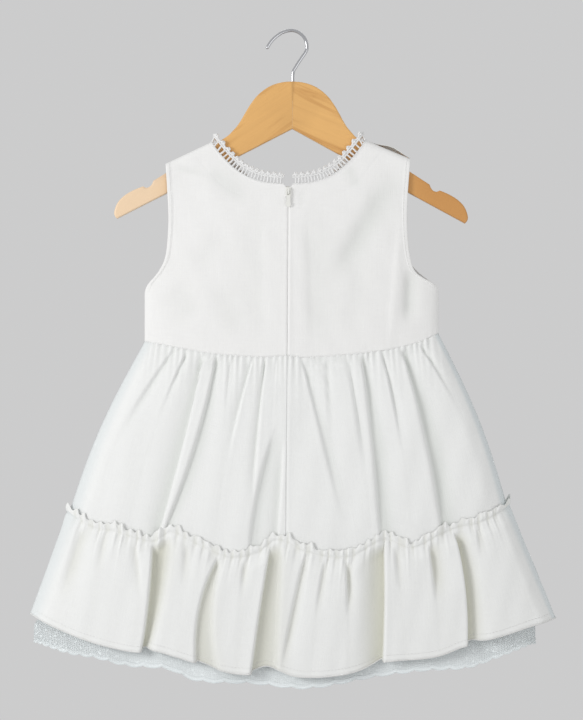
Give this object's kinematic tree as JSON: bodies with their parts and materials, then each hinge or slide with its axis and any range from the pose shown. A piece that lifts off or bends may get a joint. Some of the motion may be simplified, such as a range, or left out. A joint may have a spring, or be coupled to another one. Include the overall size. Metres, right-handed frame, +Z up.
{
  "type": "sleeveless tiered child's dress on a wooden hanger",
  "caption": "Toddler's white sleeveless dress with a gathered skirt, ruffled tier, lace hem and back zip, hung by the shoulders on a wooden hanger with a chrome hook.",
  "frame": {"origin": "inside top of the hanger's hook, where a rail carries it", "axes": "+Z up, +X to the viewer's right when the dress is seen from its back, -Y out of the dress's back"},
  "size_m": [0.459, 0.071, 0.5731],
  "materials": {
    "cloth": "matt, fine plain weave",
    "lining": "smooth matt lining",
    "lace": "matt cotton lace",
    "wood": "clear satin varnish",
    "chrome": "polished",
    "lacquer": "glossy white lacquer"
  },
  "bodies": {
    "dress_on_hanger": {"bodice_front": "cloth", "bodice_back_left": "cloth", "bodice_back_right": "cloth", "neck_trim_front": "lace", "neck_trim_back_left": "lace", "neck_trim_back_right": "lace", "skirt_front": "cloth", "skirt_back_left": "cloth", "skirt_back_right": "cloth", "tier_front": "cloth", "tier_back": "cloth", "underskirt_front": "lining", "underskirt_back": "lining", "lace_edging_front": "lace", "lace_edging_back": "lace", "hanger_arm_left": "wood", "hanger_arm_right": "wood", "hanger_hook": "chrome", "zip_slider": "lacquer"},
    "pull_tab": {"zip_pull": "lacquer"}
  },
  "joints": [
    {"name": "zip_pull_hinge", "type": "hinge", "parent": "dress_on_hanger", "child": "pull_tab", "pos_m": [-0.0027, -0.0144, -0.13929], "axis": [-1, 0, 0], "range_deg": [0, 150]}
  ]
}
